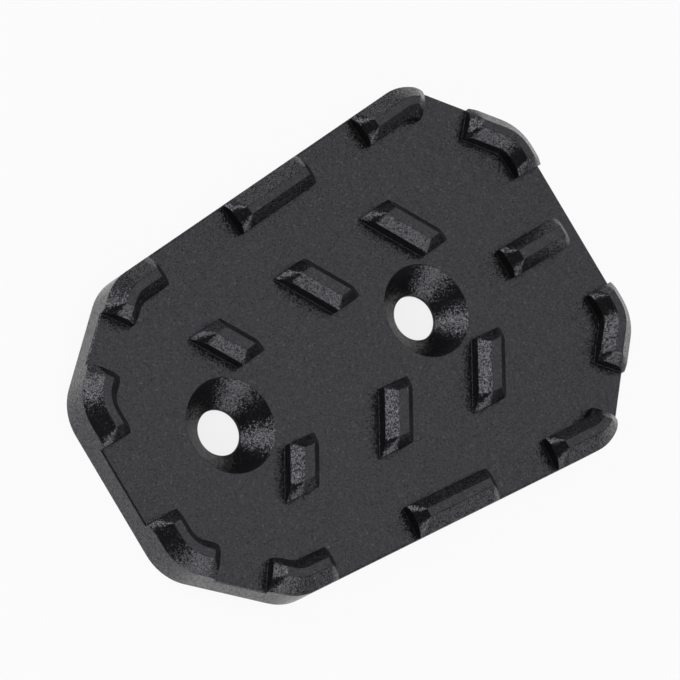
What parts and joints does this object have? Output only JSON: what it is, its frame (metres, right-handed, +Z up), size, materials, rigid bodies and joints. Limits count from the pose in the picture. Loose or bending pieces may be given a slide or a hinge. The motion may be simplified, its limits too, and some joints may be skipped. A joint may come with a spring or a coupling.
{
  "type": "brake pedal extension",
  "caption": "Flat eight-sided foot plate with rounded corners, raised bevelled grip ridges and two countersunk screw holes, for widening a motorbike brake pedal.",
  "frame": {"origin": "on the underside, midway between the two screw holes", "axes": "+X along the plate to its wide end, +Z up out of the gripping face"},
  "size_m": [0.0842, 0.0568, 0.0069],
  "materials": {
    "black_anodised": "satin, bead blasted and black anodised"
  },
  "bodies": {
    "root": {"pedal_plate": "black_anodised"}
  },
  "joints": []
}
